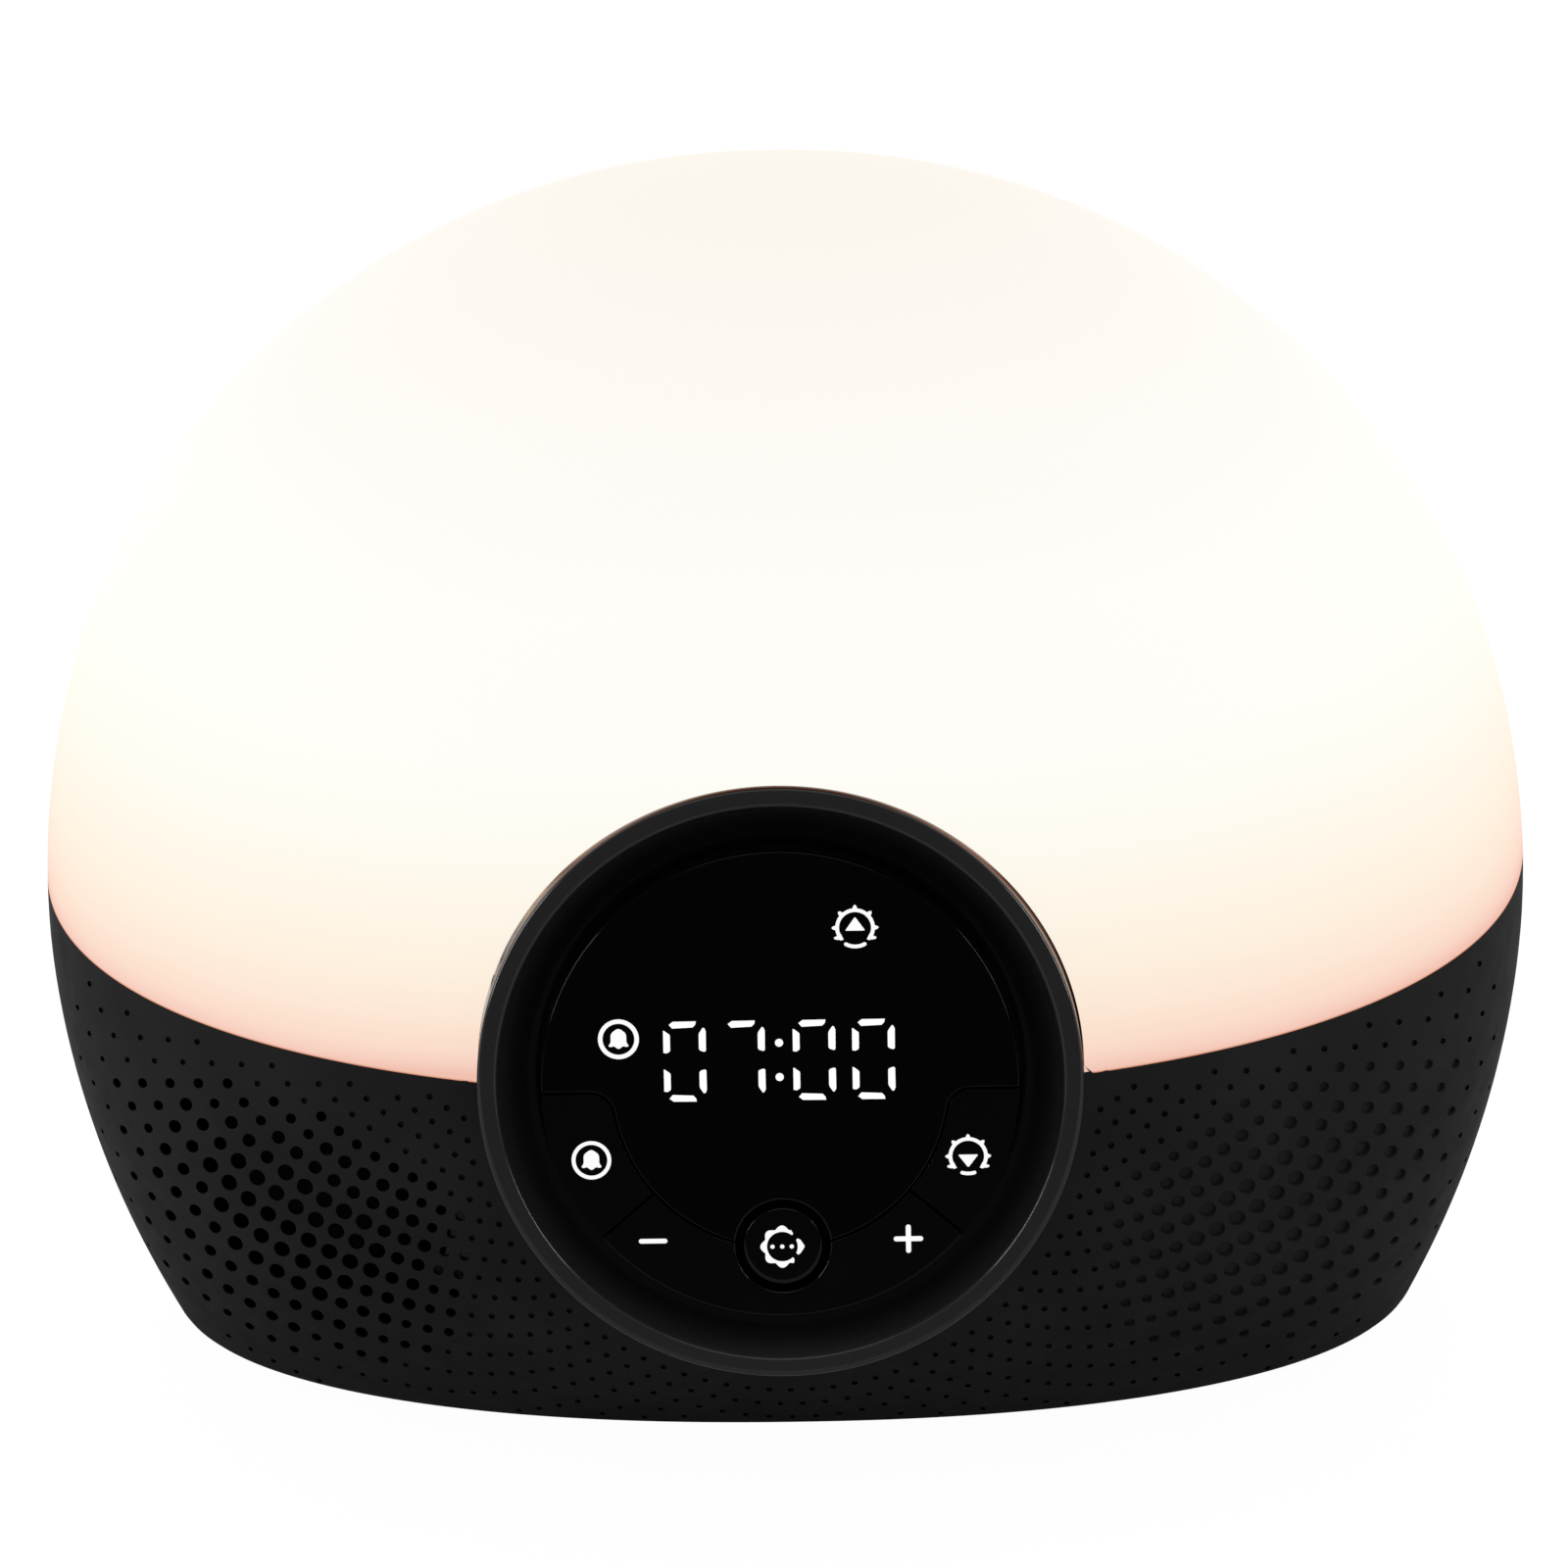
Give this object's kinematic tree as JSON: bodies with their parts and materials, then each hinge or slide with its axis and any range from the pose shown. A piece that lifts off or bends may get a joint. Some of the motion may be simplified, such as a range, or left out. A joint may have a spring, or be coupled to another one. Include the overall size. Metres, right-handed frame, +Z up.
{
  "type": "sunrise alarm clock",
  "caption": "Sunrise alarm clock: a frosted lamp dome on a perforated base, with a tilted round dial in a dished ring and pressable keys.",
  "frame": {"origin": "on the table plane, under the centre of the overall box", "axes": "+Z up, the dial faces -Y, +X to the right as the clock is read"},
  "size_m": [0.21, 0.1235, 0.181],
  "materials": {
    "frosted_diffuser": "frosted translucent white, lit warm from inside",
    "black_plastic": "fine matte texture",
    "ring_plastic": "satin",
    "dial_gloss": "polished dark tint",
    "key_plastic": "polished",
    "carrier_plastic": "satin",
    "white_plastic": "satin reflector white",
    "white_board": "white solder mask",
    "green_board": "solder mask",
    "led_lens": "clear warm lens",
    "lit_segments": "lit white",
    "display_black": "flat black",
    "component_black": "moulded",
    "ribbon_plastic": "flat cable",
    "screw_steel": "zinc plated",
    "switch_metal": "stamped",
    "speaker_metal": "stamped and plated",
    "speaker_cone": "pressed fibre",
    "foot_rubber": "matte"
  },
  "bodies": {
    "body": {"diffuser_dome": "frosted_diffuser", "base_shell": "black_plastic", "bottom_plate": "black_plastic", "rubber_feet": "foot_rubber", "base_screws": "screw_steel", "lamp_tray": "white_plastic", "lamp_board": "white_board", "lamp_leds": "led_lens", "lamp_board_screws": "screw_steel", "lamp_ribbon": "ribbon_plastic", "bezel_ring": "ring_plastic", "face_housing": "black_plastic", "bezel_screws": "screw_steel", "housing_screws": "screw_steel", "dial_window": "dial_gloss", "key_carrier": "carrier_plastic", "display_board": "green_board", "tact_switches": "switch_metal", "digit_display": "display_black", "digit_segments": "lit_segments", "display_spacer": "white_plastic", "indicator_lights": "lit_segments", "display_board_screws": "screw_steel", "front_ribbon": "ribbon_plastic", "main_board": "green_board", "board_parts": "component_black", "power_jack": "component_black", "main_board_screws": "screw_steel", "speaker_frame": "speaker_metal", "speaker_cone": "speaker_cone", "speaker_magnet": "speaker_metal", "speaker_gasket": "foot_rubber", "speaker_screws": "screw_steel"},
    "alarm_key": {"alarm_key": "key_plastic"},
    "rocker": {"minus_plus_rocker": "key_plastic"},
    "menu_key": {"menu_key": "key_plastic"},
    "sunset_key": {"sunset_key": "key_plastic"}
  },
  "joints": [
    {"name": "alarm_press", "type": "slide", "parent": "body", "child": "alarm_key", "axis": [0, 0.9636, -0.2672], "range_m": [0, 0.0004], "stiffness_N_per_m": 450, "springref_m": -0.0006},
    {"name": "menu_press", "type": "slide", "parent": "body", "child": "menu_key", "axis": [0, 0.9636, -0.2672], "range_m": [0, 0.0004], "stiffness_N_per_m": 450, "springref_m": -0.0006},
    {"name": "sunset_press", "type": "slide", "parent": "body", "child": "sunset_key", "axis": [0, 0.9636, -0.2672], "range_m": [0, 0.0004], "stiffness_N_per_m": 450, "springref_m": -0.0006},
    {"name": "minus_plus_rock", "type": "hinge", "parent": "body", "child": "rocker", "pos_m": [0, -0.05214, 0.05898], "axis": [0, 0.2672, 0.9636], "range_deg": [-1.2, 1.2], "stiffness_Nm_per_rad": 0.08}
  ]
}
